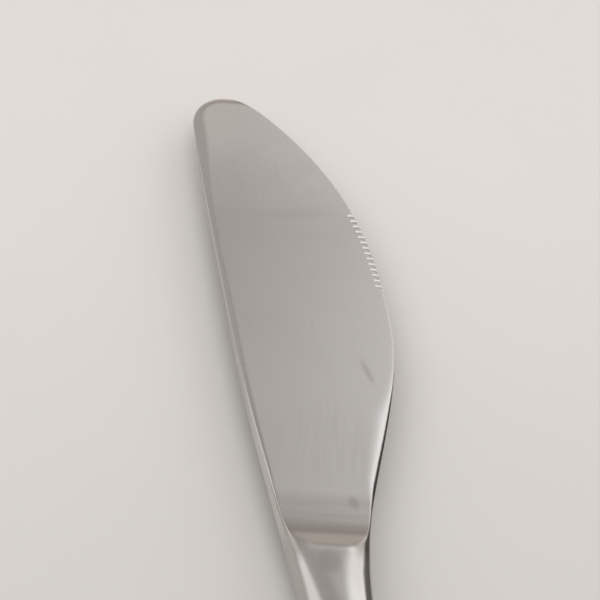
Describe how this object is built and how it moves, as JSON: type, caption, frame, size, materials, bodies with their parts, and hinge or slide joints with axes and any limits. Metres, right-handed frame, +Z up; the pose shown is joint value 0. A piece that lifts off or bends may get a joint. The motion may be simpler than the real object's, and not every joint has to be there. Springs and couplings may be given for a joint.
{
  "type": "butter knife",
  "caption": "Table knife for butter: broad round-nosed steel blade with a swept belly, fine serration and ground shoulder, on an oval neck and a plain hollow handle.",
  "frame": {"origin": "centre of the bounding box in plan, at the lowest point of the handle", "axes": "+X from the butt to the tip, +Y from the cutting edge to the spine, +Z up through the blade's thickness"},
  "size_m": [0.2128, 0.0238, 0.009],
  "materials": {
    "blade_steel": "satin-polished faces with fine use scratches, bright polished neck",
    "handle_steel": "bright polished with light wear",
    "braze": "polished flush with the shells",
    "cement": "rough, out of sight"
  },
  "bodies": {
    "root": {"blade": "blade_steel", "front_handle_shell": "handle_steel", "back_handle_shell": "handle_steel", "seam_braze": "braze", "cement_core": "cement"}
  },
  "joints": []
}
